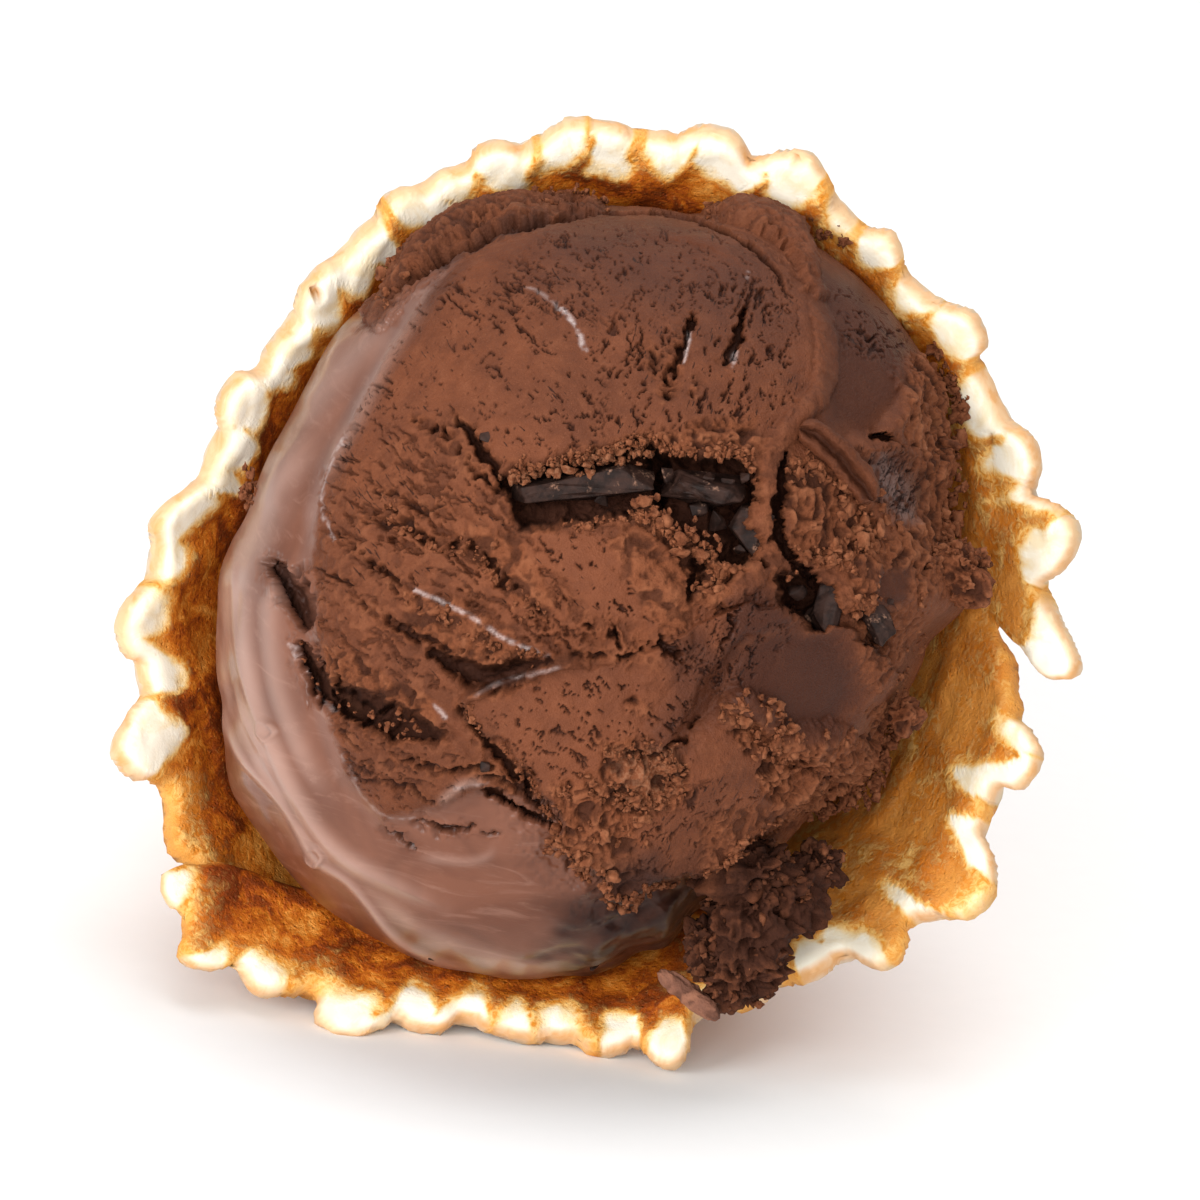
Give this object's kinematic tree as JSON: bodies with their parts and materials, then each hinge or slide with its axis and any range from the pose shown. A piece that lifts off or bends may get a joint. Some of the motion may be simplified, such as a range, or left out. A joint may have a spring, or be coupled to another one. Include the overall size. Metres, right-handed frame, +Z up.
{
  "type": "ice cream cone",
  "caption": "Hand-rolled waffle cone lying on its side with a big scoop of chocolate ice cream and dark chocolate chunks.",
  "frame": {"origin": "centre of the bounding box, on the surface that the cone lies on", "axes": "+Z up; the cone lies on its side with its mouth and the scoop towards -Y and its tip towards +Y"},
  "size_m": [0.09, 0.1713, 0.0843],
  "materials": {
    "waffle": "matt crisp wafer, pale at the rim and golden brown in the grid",
    "ice_cream": "soft satin, wet where it melts",
    "dark_chocolate": "smooth dark chocolate"
  },
  "bodies": {
    "root": {"waffle_cone": "waffle", "ice_cream_scoop": "ice_cream", "chocolate_chunk_1": "dark_chocolate", "chocolate_chunk_2": "dark_chocolate", "chocolate_chunk_3": "dark_chocolate", "chocolate_chunk_4": "dark_chocolate", "chocolate_chunk_5": "dark_chocolate"}
  },
  "joints": []
}
